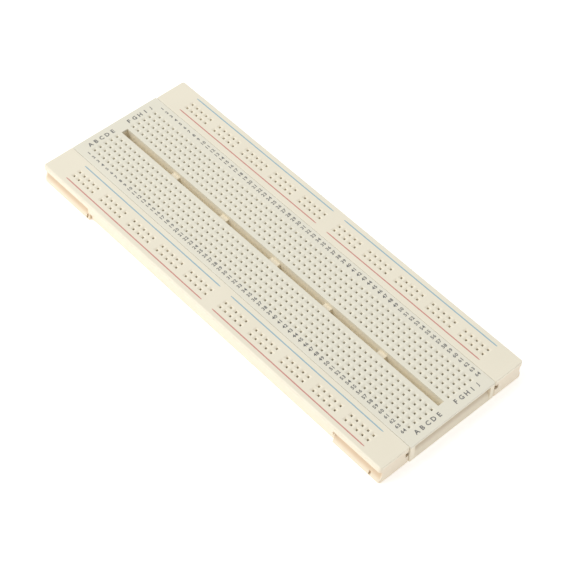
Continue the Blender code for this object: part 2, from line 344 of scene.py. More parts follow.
def mouldedGrainGroup():
    # spark-eroded mould texture, faint flow tone and rare specks
    tree, given, result = newTree("mouldedGrain", "ShaderNodeTree", {
        "Vector": "Vector",
        "Grain Scale": 3000.0,
        "Flow Scale": 40.0,
        "Speck Scale": 500.0,
    }, ["Height", "Tone", "Speck"])
    fine = textureNode(tree, "ShaderNodeTexNoise", given["Vector"], given["Grain Scale"],
                       Detail=3.0, Roughness=0.6).outputs[0]
    pits = textureNode(tree, "ShaderNodeTexVoronoi", given["Vector"], given["Grain Scale"],
                       Randomness=1.0).outputs[0]
    height = maths(tree, "ADD", fine, maths(tree, "MULTIPLY", pits, pattern["pitWeight"]))
    tree.links.new(height, result["Height"])
    flow = textureNode(tree, "ShaderNodeTexNoise", given["Vector"], given["Flow Scale"],
                       Detail=4.0, Distortion=0.6).outputs[0]
    tree.links.new(remap(tree, flow, *pattern["flowRange"]), result["Tone"])
    speck = textureNode(tree, "ShaderNodeTexVoronoi", given["Vector"], given["Speck Scale"],
                        Randomness=1.0)
    spread = maths(tree, "GREATER_THAN", speck.outputs["Color"], pattern["speckFrom"])
    dot = remap(tree, speck.outputs[0], *pattern["speckRange"])
    tree.links.new(maths(tree, "MULTIPLY", spread, dot), result["Speck"])
    return tree


stripSockets = {
    "Vector": "Vector",
    "Centre X": 0.0,
    "Half Width": 0.02,
    "Half Length": 0.08,
}


def wallGap(tree, given):
    # the point's own place, and how far it lies inside the upright sides of its strip
    place = tree.nodes.new("ShaderNodeSeparateXYZ")
    tree.links.new(given["Vector"], place.inputs[0])
    across = maths(tree, "ABSOLUTE", maths(tree, "SUBTRACT", place.outputs[0], given["Centre X"]))
    sideGap = maths(tree, "SUBTRACT", given["Half Width"], across)
    endGap = maths(tree, "SUBTRACT", given["Half Length"],
                   maths(tree, "ABSOLUTE", place.outputs[1]))
    return place.outputs, maths(tree, "MINIMUM", sideGap, endGap)


def handledEdgeGroup():
    # one where the surface comes near the long or short sides of a strip, broken up by noise
    tree, given, result = newTree("handledEdge", "ShaderNodeTree", {
        **stripSockets,
        "Reach": 0.001,
    }, ["Mask"])
    _, gap = wallGap(tree, given)
    near = remap(tree, gap, given["Reach"], 0.0)
    patches = textureNode(tree, "ShaderNodeTexNoise", given["Vector"], pattern["wearScale"],
                          Detail=4.0)
    broken = remap(tree, patches.outputs[0], *pattern["wearRange"])
    tree.links.new(maths(tree, "MULTIPLY", near, broken), result["Mask"])
    return tree


def paintedDepthShadingGroup():
    # painted light and shade: nought at the top face and one at the given depth below it, so
    # hollows and lower faces get a warmer tint in place of light bounced and scattered there
    tree, given, result = newTree("depthBelow", "ShaderNodeTree", {
        "Vector": "Vector",
        "Top": boardTop,
        "Depth": 0.001,
    }, ["Mask"])
    parts = tree.nodes.new("ShaderNodeSeparateXYZ")
    tree.links.new(given["Vector"], parts.inputs[0])
    low = maths(tree, "SUBTRACT", given["Top"], given["Depth"])
    tree.links.new(remap(tree, parts.outputs[2], given["Top"], low), result["Mask"])
    return tree


paintedGrooveShadeReach = {
    "full": 1.7 * mm,  # the painted shade is whole up to this far inside a wall
    "none": 2.2 * mm,  # and gone from here
    "fall": 1.0 * mm,  # it comes in over this height below the top face
}


def paintedGrooveShadeGroup():
    # painted shade: deep in the grooves of the upright sides the plastic is painted darker and
    # warmer, where the overhang keeps the light out
    tree, given, result = newTree("grooveTone", "ShaderNodeTree", {
        **stripSockets,
        "Start": 0.0001,
        "Depth": 0.001,
        "Far End": 0.08,
        "Near End": -0.08,
        "Top": boardTop,
    }, ["Mask"])
    place, gap = wallGap(tree, given)
    deep = remap(tree, gap, given["Start"], given["Depth"])
    inside = remap(tree, gap, paintedGrooveShadeReach["none"], paintedGrooveShadeReach["full"])
    below = remap(tree, place[2], given["Top"],
                  maths(tree, "SUBTRACT", given["Top"], paintedGrooveShadeReach["fall"]))
    ends = maths(tree, "MAXIMUM", maths(tree, "GREATER_THAN", place[1], given["Far End"]),
                 maths(tree, "LESS_THAN", place[1], given["Near End"]))
    mask = maths(tree, "MULTIPLY", maths(tree, "MULTIPLY", deep, inside),
                 maths(tree, "MULTIPLY", below, ends))
    tree.links.new(mask, result["Mask"])
    return tree


def inkGroup():
    # pad-printed ink: slightly thin and grainy, thinner towards some patches
    tree, given, result = newTree("padPrint", "ShaderNodeTree", {
        "Vector": "Vector",
        "Scale": 2500.0,
        "Thinness": 0.3,
    }, ["Thin", "Height"])
    grain = textureNode(tree, "ShaderNodeTexNoise", given["Vector"], given["Scale"],
                        Detail=4.0, Roughness=0.65).outputs[0]
    patch = textureNode(tree, "ShaderNodeTexNoise", given["Vector"], pattern["inkScale"],
                        Detail=2.0).outputs[0]
    both = maths(tree, "MULTIPLY", remap(tree, grain, *pattern["inkGrainRange"]),
                 remap(tree, patch, *pattern["inkPatchRange"]))
    tree.links.new(maths(tree, "MULTIPLY", both, given["Thinness"], clamp=True), result["Thin"])
    tree.links.new(grain, result["Height"])
    return tree


def sheetGroup():
    # rolled strip: fine lines along it, and a mottled tarnish
    tree, given, result = newTree("rolledSheet", "ShaderNodeTree", {
        "Vector": "Vector",
        "Line Scale": 6000.0,
        "Tarnish Scale": 350.0,
    }, ["Lines", "Tarnish"])
    stretch = tree.nodes.new("ShaderNodeMapping")
    stretch.inputs["Scale"].default_value = pattern["sheetStretch"]
    tree.links.new(given["Vector"], stretch.inputs["Vector"])
    lines = textureNode(tree, "ShaderNodeTexNoise", stretch.outputs[0], given["Line Scale"],
                        Detail=2.0).outputs[0]
    tree.links.new(lines, result["Lines"])
    mottle = textureNode(tree, "ShaderNodeTexNoise", given["Vector"], given["Tarnish Scale"],
                         Detail=5.0).outputs[0]
    tree.links.new(remap(tree, mottle, *pattern["tarnishRange"]), result["Tarnish"])
    return tree


def cellGroup():
    # closed cells of cut foam; on the foam tape the darker cell middles are painted shade in the
    # opened pores, on the liner they are its own mottle
    tree, given, result = newTree("foamCells", "ShaderNodeTree", {
        "Vector": "Vector",
        "Cell Scale": 5000.0,
    }, ["Height", "Open"])
    cells = textureNode(tree, "ShaderNodeTexVoronoi", given["Vector"], given["Cell Scale"])
    tree.links.new(cells.outputs[0], result["Height"])
    tree.links.new(remap(tree, cells.outputs[0], *pattern["cellRange"]), result["Open"])
    return tree


grainGroup = mouldedGrainGroup()
edgeGroup = handledEdgeGroup()
paintedDepthShadingMask = paintedDepthShadingGroup()
paintedGrooveShadeMask = paintedGrooveShadeGroup()
printGroup = inkGroup()
metalGroup = sheetGroup()
foamGroup = cellGroup()


def startMaterial(name, look):
    material = bpy.data.materials.new(name)
    material.use_nodes = True
    tree = material.node_tree
    shader = tree.nodes["Principled BSDF"]
    for label in ("Metallic", "Specular IOR Level"):
        if label in look:
            shader.inputs[label].default_value = look[label]
    material.diffuse_color = (*look["colour"], 1.0)
    place = tree.nodes.new("ShaderNodeTexCoord").outputs["Object"]
    return material, tree, shader, place


def placeGroup(tree, group, place, **values):
    node = tree.nodes.new("ShaderNodeGroup")
    node.node_tree = group
    tree.links.new(place, node.inputs["Vector"])
    for socket in node.inputs:
        if valueName(socket) in values:
            socket.default_value = values[valueName(socket)]
    return node.outputs


def addBump(tree, shader, height, distance, strength):
    bump = tree.nodes.new("ShaderNodeBump")
    bump.inputs["Strength"].default_value = strength
    bump.inputs["Distance"].default_value = distance
    tree.links.new(height, bump.inputs["Height"])
    tree.links.new(bump.outputs[0], shader.inputs["Normal"])


def rgba(colour):
    return (*colour, 1.0)


def plasticMaterial(name, look, centreX, halfWidth, halfLength):
    material, tree, shader, place = startMaterial(name, look)
    grain = placeGroup(tree, grainGroup, place, grainScale=look["grainScale"],
                       flowScale=look["flowScale"])
    edge = placeGroup(tree, edgeGroup, place, centreX=centreX, halfWidth=halfWidth,
                      halfLength=halfLength, reach=look["edgeReach"])
    deep = placeGroup(tree, paintedDepthShadingMask, place, top=boardTop - look["depthStart"],
                      depth=look["depth"])
    colour = mixColour(tree, grain["Tone"], rgba(look["colour"]), rgba(look["flowColour"]))
    worn = maths(tree, "MULTIPLY", edge["Mask"], look["edgeAmount"])
    colour = mixColour(tree, worn, colour, rgba(look["edgeColour"]))
    # painted light and shade below the top face: lighter on the terminal strip, darker on the bus
    # strips
    shade = maths(tree, "MULTIPLY", deep["Mask"], look["depthAmount"])
    colour = mixColour(tree, shade, colour, rgba(look["depthColour"]))
    # painted shade deep in the side grooves, darker and warmer
    groove = placeGroup(tree, paintedGrooveShadeMask, place, centreX=centreX, halfWidth=halfWidth,
                        halfLength=halfLength, start=look["grooveStart"],
                        depth=look["grooveDepth"],
                        farEnd=look["grooveEnds"][0], nearEnd=look["grooveEnds"][1])
    shade = maths(tree, "MULTIPLY", groove["Mask"], look["grooveAmount"])
    colour = mixColour(tree, shade, colour, rgba(look["grooveColour"]))
    fleck = maths(tree, "MULTIPLY", grain["Speck"], look["speckAmount"])
    colour = mixColour(tree, fleck, colour, rgba(look["speckColour"]))
    tree.links.new(colour, shader.inputs["Base Color"])
    low, high = look["roughness"]
    rough = remap(tree, grain["Tone"], 0.0, 1.0, low, high)
    rough = maths(tree, "SUBTRACT", rough,
                  maths(tree, "MULTIPLY", edge["Mask"], look["edgePolish"]))
    tree.links.new(rough, shader.inputs["Roughness"])
    addBump(tree, shader, grain["Height"], *look["relief"])
    return material


def mixedMaterial(name, look, group, mask, height, **values):
    # a group's mask mixes two colours, and its height gives the relief
    material, tree, shader, place = startMaterial(name, look)
    given = placeGroup(tree, group, place, **values)
    part = maths(tree, "MULTIPLY", given[mask], look["otherAmount"])
    colour = mixColour(tree, part, rgba(look["colour"]), rgba(look["otherColour"]))
    tree.links.new(colour, shader.inputs["Base Color"])
    tree.links.new(remap(tree, given[mask], 0.0, 1.0, *look["roughness"]),
                   shader.inputs["Roughness"])
    addBump(tree, shader, given[height], *look["relief"])
    return material


def inkMaterial(name, look):
    return mixedMaterial(name, look, printGroup, "Thin", "Height",
                         scale=look["grainScale"], thinness=look["thinness"])


def metalMaterial(name, look):
    return mixedMaterial(name, look, metalGroup, "Tarnish", "Lines", lineScale=look["lineScale"])


def foamMaterial(name, look):
    return mixedMaterial(name, look, foamGroup, "Open", "Height", cellScale=look["cellScale"])


strips = {
    "busHalfWidth": 6.45 * mm,
    "keyDepth": 1.10 * mm,
}
terminalHalfWidth = terminalHigh.x - strips["keyDepth"]
terminalHalfLength = terminalHigh.y
leftLow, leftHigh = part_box("left_bus_housing")
rightLow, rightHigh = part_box("right_bus_housing")
busCentre = (rightLow.x + rightHigh.x) / 2
busHalfLength = (leftHigh.y - leftLow.y) / 2

terminalLook = {
    "colour": (0.775, 0.750, 0.640),
    "flowColour": (0.790, 0.763, 0.650),
    "edgeColour": (0.82, 0.80, 0.70),
    # painted bounce light: below the top face the terminal plastic turns lighter and warmer
    "depthColour": (0.87, 0.80, 0.65),
    "speckColour": (0.45, 0.38, 0.28),
    "depthStart": 0.1 * mm,
    "depth": 1.6 * mm,
    "depthAmount": 0.9,
    # painted shade in the side grooves
    "grooveColour": (0.50, 0.40, 0.28),
    "grooveStart": 0.40 * mm,
    "grooveDepth": 1.15 * mm,
    "grooveAmount": 0.52,
    "grooveEnds": (84 * mm, -84 * mm),  # the painted groove shade lies beyond these places
    "edgeReach": 0.9 * mm,
    "edgeAmount": 0.5,
    "edgePolish": 0.08,
    "speckAmount": 0.35,
    "grainScale": 3200.0,
    "flowScale": 38.0,
    "relief": (0.02 * mm, 0.55),  # depth and strength of the bump
    "roughness": (0.40, 0.48),
    "Specular IOR Level": 0.42,
}
busLook = dict(
    terminalLook,
    colour=(0.825, 0.775, 0.64),
    flowColour=(0.84, 0.79, 0.655),
    edgeColour=(0.87, 0.83, 0.70),
    # painted shade: below the top face the bus plastic turns darker and warmer
    depthColour=(0.83, 0.74, 0.59),
    # painted shade in the side grooves
    grooveColour=(0.56, 0.37, 0.20),
    grooveStart=0.10 * mm,
    grooveDepth=0.95 * mm,
    grooveAmount=0.60,
    grooveEnds=(60.7 * mm, -64.2 * mm),
    roughness=(0.36, 0.44),
)
inkLook = {
    "colour": (0.13, 0.13, 0.13),
    "otherColour": (0.70, 0.68, 0.58),
    "otherAmount": 1.0,
    "relief": (0.01 * mm, 0.5),
    "grainScale": 4200.0,
    "thinness": 0.45,
    "roughness": (0.38, 0.5),
}
metalLook = {
    "colour": (0.66, 0.64, 0.60),
    "otherColour": (0.42, 0.36, 0.27),
    "otherAmount": 0.4,
    "relief": (0.004 * mm, 0.6),
    "lineScale": 7000.0,
    "roughness": (0.22, 0.42),
    "Metallic": 1.0,
}
foamLook = {
    "colour": (0.80, 0.79, 0.75),
    # painted shade in the cut pores, mixed in at the middles of the cells
    "otherColour": (0.55, 0.54, 0.50),
    "otherAmount": 0.5,
    "relief": (0.08 * mm, 0.8),
    "cellScale": 5200.0,
    "roughness": (0.85, 0.95),
}
linerLook = {
    "colour": (0.83, 0.78, 0.62),
    "otherColour": (0.76, 0.70, 0.54),
    "otherAmount": 0.4,
    "relief": (0.01 * mm, 0.8),
    "cellScale": 1500.0,
    "roughness": (0.45, 0.6),
}

terminalPlastic = plasticMaterial("terminalPlastic", terminalLook, 0.0, terminalHalfWidth,
                                  terminalHalfLength)
leftPlastic = plasticMaterial("leftBusPlastic", busLook, -busCentre, strips["busHalfWidth"],
                              busHalfLength)
rightPlastic = plasticMaterial("rightBusPlastic", busLook, busCentre, strips["busHalfWidth"],
                               busHalfLength)
darkInk = inkMaterial("darkInk", inkLook)
redInk = inkMaterial("redInk", dict(inkLook, colour=(0.62, 0.27, 0.23), thinness=0.3))
blueInk = inkMaterial("blueInk", dict(inkLook, colour=(0.31, 0.48, 0.565), thinness=0.3))
clipMetal = metalMaterial("clipMetal", metalLook)
railMetal = metalMaterial("railMetal", dict(metalLook, colour=(0.68, 0.64, 0.57)))
foamWhite = foamMaterial("foamWhite", foamLook)
linerPaper = foamMaterial("linerPaper", linerLook)
print("materials made:", len(bpy.data.materials))


housingShape = {
    "outerCorner": 0.95 * mm,
    "seamCorner": 0.50 * mm,
    "leftEdge": 0.90 * mm,
    "rightEdge": 0.25 * mm,
    "endEdge": 0.22 * mm,
    "seamEdge": 0.10 * mm,
    "seamFill": 0.07 * mm,  # how far each side of a seam stands out towards the other
    "footChamfer": 0.10 * mm,
    "underside": 1.20 * mm,  # of a housing, inside the rim around its tape
    "rim": 1.40 * mm,
    "busRim": 1.90 * mm,
    "cornerSteps": 6,
    "edgeSteps": 6,
}
socketShape = {
    # half width, half length and depth below the top face, from the mouth down
    "rings": ((0.98, 1.18, -0.05), (0.88, 1.08, 0.0), (0.80, 0.98, 0.03), (0.40, 0.38, 0.34),
              (0.37, 0.35, 0.60), (0.37, 0.35, 1.45)),
    "cavityLength": 12.16 * mm,
    "cavityWidth": 1.90 * mm,
    "cavityFloor": 0.70 * mm,  # above the underside
}
pocketShape = {
    # one shallow pocket under each block of cavities, open at the underside
    "pastCavity": 0.90 * mm,
    "pastRows": 2.80 * mm,
    "height": 0.75 * mm,
}
channelShape = {
    "halfWidth": 1.32 * mm,
    "halfLength": 80.45 * mm,
    "floor": boardTop - 4.40 * mm,
    "ribTop": boardTop - 2.00 * mm,
    "ribStep": 26.37 * mm,
    "ribs": 5,
    "ribThickness": 3.25 * mm,
    "middleRib": 4.15 * mm,
    "lip": 0.15 * mm,
    "lipRound": 0.3,  # part of the lip where its round begins
    "draft": 0.10 * mm,
}
# a groove's profile is depth and height, up its back
endGroove = {
    "halfLength": 17.30 * mm,
    "profile": ((0.03 * mm, 1.10 * mm), (0.40 * mm, 2.80 * mm),
                (1.30 * mm, 4.55 * mm), (1.30 * mm, 7.70 * mm)),
}
sideGroove = {
    "profile": ((0.03 * mm, 1.00 * mm), (1.20 * mm, 4.20 * mm), (1.20 * mm, 6.40 * mm)),
    "seamProfile": ((1.60 * mm, 4.20 * mm), (1.60 * mm, 6.20 * mm)),
    "farEnd": 60.90 * mm,
    "nearEnd": -64.40 * mm,
    "stepTop": 4.40 * mm,
    "stepDepth": 1.20 * mm,
}
keyShape = {
    "places": (61.90 * mm, -81.30 * mm),
    "top": 5.60 * mm,
    "root": 0.70 * mm,
    "tip": 2.20 * mm,
    # widths at the mouth and at the back, depth, and heights of the foot and of the top
    "seamSocket": (2.00 * mm, 4.20 * mm, 1.50 * mm, 0.00 * mm, 6.00 * mm),
    "outerSocket": (0.80 * mm, 0.90 * mm, 0.75 * mm, 0.80 * mm, 2.50 * mm),
}


def roundedOutline(xRange, yRange, corners, edges, steps):
    # corners and edges go round from the +X side: point, outward direction, edge radius
    outline = []
    turns = (((1, 1), 0), ((0, 1), 1), ((0, 0), 2), ((1, 0), 3))
    for (i, j), quarter in turns:
        radius = corners[quarter]
        centre = Vector((xRange[i] - (radius if i else -radius),
                         yRange[j] - (radius if j else -radius)))
        for step in range(steps + 1):
            part = step / steps
            angle = (quarter + part) * pi / 2
            outward = Vector((cos(angle), sin(angle)))
            edge = edges[quarter] + (edges[(quarter + 1) % 4] - edges[quarter]) * part
            outline.append((centre + outward * radius, outward, edge))
    return outline


def housingBlock(name, xRange, yRange, corners, edges):
    shape = housingShape
    outline = roundedOutline(xRange, yRange, corners, edges, shape["cornerSteps"])

    def loop(inset, height):
        return [(*(point - outward * inset(edge)), height(edge))
                for point, outward, edge in outline]

    foot = shape["footChamfer"]
    loops = [loop(lambda edge: foot, lambda edge: housingBottom),
             loop(lambda edge: 0.0, lambda edge: housingBottom + foot)]
    for step in range(shape["edgeSteps"] + 1):
        angle = step / shape["edgeSteps"] * pi / 2
        loops.append(loop(lambda edge: edge * (1 - cos(angle)),
                          lambda edge: boardTop - edge * (1 - sin(angle))))
    return addObject(name, solidMesh(name, loops))


def dovetailLoops(rootX, tipX, y, rootWidth, tipWidth, heights):
    return [[(rootX, y - rootWidth / 2, z), (tipX, y - tipWidth / 2, z),
             (tipX, y + tipWidth / 2, z), (rootX, y + rootWidth / 2, z)] for z in heights]


def grooveLoops(face, outward, profile, along, turned=False):
    # the cutter of a groove that runs along Y, or along X if it is turned
    loops = []
    outer = face + outward * board["overcut"]
    for deep, z in profile:
        loop = boxLoops((face - outward * deep, outer), along, (z, z))[0]
        loops.append([(y, x, z) for x, y, z in loop] if turned else loop)
    return loops


def tapeRecess(xRange, yRange, rim):
    return boxLoops((xRange[0] + rim, xRange[1] - rim),
                    (yRange[0] + housingShape["rim"], yRange[1] - housingShape["rim"]),
                    (housingBottom - board["overcut"], housingShape["underside"]))


def socketMesh():
    corners = ((-1, -1), (1, -1), (1, 1), (-1, 1))
    rings = [[(i * wide * mm, j * tall * mm, boardTop - depth * mm) for i, j in corners]
             for wide, tall, depth in reversed(socketShape["rings"])]
    return solidMesh("socket", rings)


def cavityMesh(length, width, bottom):
    return solidMesh("cavity", boxLoops(span(0, length), span(0, width),
                                        (bottom, board["cavityTop"])))


def channelCutters():
    shape = channelShape
    wide, tall, over = shape["halfWidth"], shape["halfLength"], board["overcut"]
    lip, bend = shape["lip"], shape["lip"] * shape["lipRound"]
    rims = ((0.0, shape["ribTop"]), (0.0, boardTop - lip), (bend, boardTop - bend),
            (lip, boardTop), (lip + over, boardTop + over))
    upper = solidObject("channelUpper", [
        boxLoops((-wide - out, wide + out), (-tall - out, tall + out), (z, z))[0]
        for out, z in rims])
    middles = [(step - (shape["ribs"] - 1) / 2) * shape["ribStep"] for step in range(shape["ribs"])]
    ends = [-tall]
    for middle in middles:
        thick = shape["middleRib"] if abs(middle) < shape["ribStep"] / 2 else shape["ribThickness"]
        ends += span(middle, thick)
    ends.append(tall)
    levels = ((shape["draft"], shape["floor"]), (0.0, shape["ribTop"] + over))
    bays = [[boxLoops((-wide + inset, wide - inset), (low + inset, high - inset), (z, z))[0]
             for inset, z in levels]
            for low, high in zip(ends[0::2], ends[1::2])]
    return [upper, solidObject("channelBays", *bays)]


def terminalHousing():
    shape = housingShape
    over = board["overcut"]
    seam = terminalHalfWidth + shape["seamFill"]
    ends = (-terminalHalfLength, terminalHalfLength)
    body = housingBlock("terminalHousing", (-seam, seam), ends,
                        [shape["seamCorner"]] * 4,
                        (shape["seamEdge"], shape["endEdge"], shape["seamEdge"],
                         shape["endEdge"]))
    keys = []
    for side in (1, -1):
        for y in keyShape["places"]:
            keys.append(dovetailLoops(side * (terminalHalfWidth - over * 2),
                                      side * (terminalHalfWidth + strips["keyDepth"]), y,
                                      keyShape["root"], keyShape["tip"],
                                      (housingBottom, keyShape["top"])))
    combine(body, [solidObject("keys", *keys)], "UNION")
    first = Vector((-(board["firstColumn"] + contactSpan), rowY(0), 0))
    sockets = repeat("sockets", socketMesh(), start=first, across=2 * board["contacts"],
                     along=board["rows"], acrossGap=2 * pitch, alongGroup=board["rows"],
                     half=board["rows"])
    cavities = repeat("cavities",
                      cavityMesh(socketShape["cavityLength"], socketShape["cavityWidth"],
                                 shape["underside"] + socketShape["cavityFloor"]),
                      start=Vector((blockX(-1), rowY(0), 0)), across=2, along=board["rows"],
                      step=pitch, acrossGroup=1, acrossGap=blockX(1) - blockX(-1) - pitch,
                      alongGroup=board["rows"], half=board["rows"])
    pockets = [boxLoops(span(blockX(side),
                             socketShape["cavityLength"] + pocketShape["pastCavity"]),
                        span(0, (board["rows"] - 1) * pitch + pocketShape["pastRows"]),
                        (housingBottom - over, shape["underside"] + pocketShape["height"]))
               for side in (1, -1)]
    openings = [grooveLoops(end * terminalHalfLength, end, endGroove["profile"],
                            span(0, 2 * endGroove["halfLength"]), True)
                for end in (1, -1)]
    openings.append(tapeRecess((-terminalHalfWidth, terminalHalfWidth), ends, shape["rim"]))
    combine(body, [sockets, cavities, solidObject("pockets", *pockets),
                   solidObject("openings", *openings), *channelCutters()], "DIFFERENCE")
    shadeEdges(body.data)
    paint(body, terminalPlastic)
    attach(body, "terminal_strip")
    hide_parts("terminal_strip_housing")
    return body


def busPlace(name):
    # the strip's box and middle, and how far it is slipped along the board
    low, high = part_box(f"{name}_bus_housing")
    return low, high, (low.x + high.x) / 2, (low.y + high.y) / 2 - (leftLow.y + leftHigh.y) / 2


def busHousing(name, side, material):
    low, high, centre, slip = busPlace(name)
    shape = housingShape
    over = board["overcut"]
    if side < 0:
        edges = (shape["seamEdge"], shape["endEdge"], shape["leftEdge"], shape["endEdge"])
        corners = (shape["seamCorner"], shape["outerCorner"], shape["outerCorner"],
                   shape["seamCorner"])
        xRange = (low.x, high.x + shape["seamFill"])
    else:
        edges = (shape["rightEdge"], shape["endEdge"], shape["seamEdge"], shape["endEdge"])
        corners = (shape["outerCorner"], shape["seamCorner"], shape["seamCorner"],
                   shape["outerCorner"])
        xRange = (low.x - shape["seamFill"], high.x)
    body = housingBlock(f"{name}BusHousing", xRange, (low.y, high.y), corners, edges)
    first = Vector((centre - board["busColumn"], board["busFirstRow"] + slip, 0))
    sockets = repeat("sockets", socketMesh(), start=first, across=2, along=board["busRows"],
                     acrossGroup=2, alongGap=pitch, halfGap=pitch)
    cavities = []
    reach = board["railSpan"] + socketShape["cavityLength"]
    for column in (-1, 1):
        for half in (1, -1):
            cavities.append(boxLoops(span(centre + column * board["busColumn"],
                                          socketShape["cavityWidth"]),
                                     span(half * board["railMiddle"] + slip, reach),
                                     (housingBottom - over, board["cavityTop"])))
    grooves, feet, dovetails = [], [], []
    for wall in (1, -1):
        face = xRange[(wall + 1) // 2]
        outer = face + wall * over
        farEnd, nearEnd = sideGroove["farEnd"] + slip, sideGroove["nearEnd"] + slip
        for along in ((farEnd, high.y + over), (low.y - over, nearEnd)):
            profile = sideGroove["profile" if wall == side else "seamProfile"]
            grooves.append(grooveLoops(face, wall, profile, along))
        feet.append(boxLoops((face - wall * sideGroove["stepDepth"], outer), (nearEnd, farEnd),
                             (housingBottom - over, sideGroove["stepTop"])))
        mouth, back, depth, bottom, top = keyShape["outerSocket" if wall == side
                                                   else "seamSocket"]
        for y in keyShape["places"]:
            dovetails.append(dovetailLoops(outer, face - wall * depth, y + slip,
                                           mouth, back, (bottom, top)))
    grooves.append(tapeRecess((low.x, high.x), (low.y, high.y), shape["busRim"]))
    combine(body, [sockets, solidObject("cavities", *cavities), solidObject("grooves", *grooves),
                   solidObject("feet", *feet), solidObject("dovetails", *dovetails)],
            "DIFFERENCE")
    shadeEdges(body.data)
    paint(body, material)
    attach(body, f"{name}_bus_strip")
    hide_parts(f"{name}_bus_housing")
    return body


terminalBody = terminalHousing()
print("terminal housing:", len(terminalBody.data.polygons), "faces")
leftBody = busHousing("left", -1, leftPlastic)
rightBody = busHousing("right", 1, rightPlastic)
print("bus housings:", len(leftBody.data.polygons), "faces each")


clipShape = {
    "length": 11.40 * mm,
    "sheet": 0.20 * mm,
    "leafGap": 0.80 * mm,  # between neighbouring leaves
    "rootHeight": 0.75 * mm,  # of the spine's folded edge, below the gaps
    "gapStart": -1.5 * pitch,
    "gapCut": (2.0 * mm, 6.0 * mm),  # width and top of the cutter of a gap
    "lift": 0.20 * mm,  # above the foot of the plain solid
    "smoothUpTo": radians(50),
    # half width of the bent sheet and height, up one leaf
    "profile": ((0.55, 0.0), (0.60, 0.12), (0.60, 0.9), (0.56, 2.2), (0.38, 3.6), (0.13, 4.35),
                (0.12, 4.50), (0.24, 4.78), (0.34, 4.90)),
    "wobble": 0.03 * mm,
}
railShape = {
    "gapStart": -13.5 * pitch,
    "gaps": 20,
    "gapsTogether": 4,
    "blankStart": -9 * pitch,  # the stretches with no leaves
    "blanks": 4,
    "blankWidth": 2 * pitch - 1.7 * mm,
}
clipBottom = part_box("row_clips_ae_01_04")[0].z + clipShape["lift"]


def clipProfile(bottom):
    # closed outline of the bent strip seen along its length
    shape = clipShape
    centre = [(-half * mm, height * mm) for half, height in reversed(shape["profile"])]
    centre += [(half * mm, height * mm) for half, height in shape["profile"]]
    centre = [Vector((y, bottom + shape["sheet"] / 2 + z)) for y, z in centre]
    inner, outer = [], []
    for index, point in enumerate(centre):
        before = centre[max(index - 1, 0)]
        after = centre[min(index + 1, len(centre) - 1)]
        along = (after - before).normalized()
        across = Vector((-along.y, along.x)) * shape["sheet"] / 2
        inner.append(point + across)
        outer.append(point - across)
    return inner + outer[::-1]


def bentStrip(name, length, bottom):
    outline = clipProfile(bottom)
    bm = bmesh.new()
    stackLoops(bm, [[(x, y, z) for y, z in outline] for x in span(0, length)])
    return addObject(name, toMesh(name, bm))


def leafGapMesh(width, bottom):
    across, top = clipShape["gapCut"]
    return solidMesh("leafGap", boxLoops(span(0, width), span(0, across),
                                         (bottom + clipShape["rootHeight"], bottom + top)))


def rowClip():
    clip = bentStrip("rowClip", clipShape["length"], clipBottom)
    gaps = repeat("gaps", leafGapMesh(clipShape["leafGap"], clipBottom),
                  start=Vector((clipShape["gapStart"], 0, 0)), across=board["contacts"] - 1,
                  along=1)
    combine(clip, [gaps], "DIFFERENCE")
    shadeEdges(clip.data, clipShape["smoothUpTo"])
    return clip


def railClip():
    # turned so that it runs along the strip
    shape = railShape
    length = board["railSpan"] + clipShape["length"]
    clip = bentStrip("railClip", length, clipBottom)
    gaps = repeat("gaps", leafGapMesh(clipShape["leafGap"], clipBottom),
                  start=Vector((shape["gapStart"], 0, 0)), across=shape["gaps"], along=1,
                  acrossGroup=shape["gapsTogether"], acrossGap=2 * pitch)
    blanks = repeat("blanks", leafGapMesh(shape["blankWidth"], clipBottom),
                    start=Vector((shape["blankStart"], 0, 0)), across=shape["blanks"], along=1,
                    acrossGroup=1, acrossGap=5 * pitch)
    combine(clip, [gaps, blanks], "DIFFERENCE")
    clip.data.transform(Matrix.Rotation(pi / 2, 4, "Z"))
    shadeEdges(clip.data, clipShape["smoothUpTo"])
    return clip


def addClips():
    clip = rowClip()
    count = 0
    for node in sorted(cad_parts):
        if not node.startswith("row_clips_"):
            continue
        low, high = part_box(node)
        columns = node.split("_")[2]
        firstRow = int(node.split("_")[3]) - 1
        start = Vector(((low.x + high.x) / 2, rowY(firstRow), 0))
        bank = repeat(f"rowClips{columns.title()}{firstRow + 1:02d}", clip.data.copy(),
                      start=start, across=1, along=4, alongGroup=4, half=4,
                      wobble=clipShape["wobble"], seed=firstRow + (100 if columns == "fj" else 0),
                      material=clipMetal)
        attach(bank, "terminal_strip")
        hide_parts(node)
        count += 1
    discard(clip)
    rail = railClip()
    for node in sorted(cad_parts):
        if "_rail_clip_" not in node:
            continue
        low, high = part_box(node)
        side, colour, _, _, half = node.split("_")
        mesh = rail.data.copy()
        mesh.transform(Matrix.Translation(((low.x + high.x) / 2, (low.y + high.y) / 2, 0)))
        item = addObject(f"{side}{colour.title()}RailClip{half.title()}", mesh, railMetal)
        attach(item, f"{side}_bus_strip")
        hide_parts(node)
        count += 1
    discard(rail)
    return count


print("spring clips:", addClips(), "pieces")


printShape = {
    "height": 0.025 * mm,  # the ink stands this far above the plastic
    "lineWidth": 0.45 * mm,
    "lineEdge": 0.015 * mm,  # unevenness of a printed edge
    "lineEnds": (76.03 * mm, 2.71 * mm),
    "lineSteps": 60,
    "lineTrim": 0.45,  # how much narrower a line ends, as a part of its half width
    "redLine": -4.00 * mm,  # from the middle of the strip
    "blueLine": 4.35 * mm,
    "digitHeight": 1.40 * mm,
    "digitStep": 1.01 * mm,
    "letterHeight": 1.80 * mm,
    "letterY": 83.04 * mm,
    "numberX": (-16.62 * mm, 17.28 * mm),
    "letterShift": 0.33 * mm,
    "weight": 0.022,  # how much the strokes are thickened, in font units
}


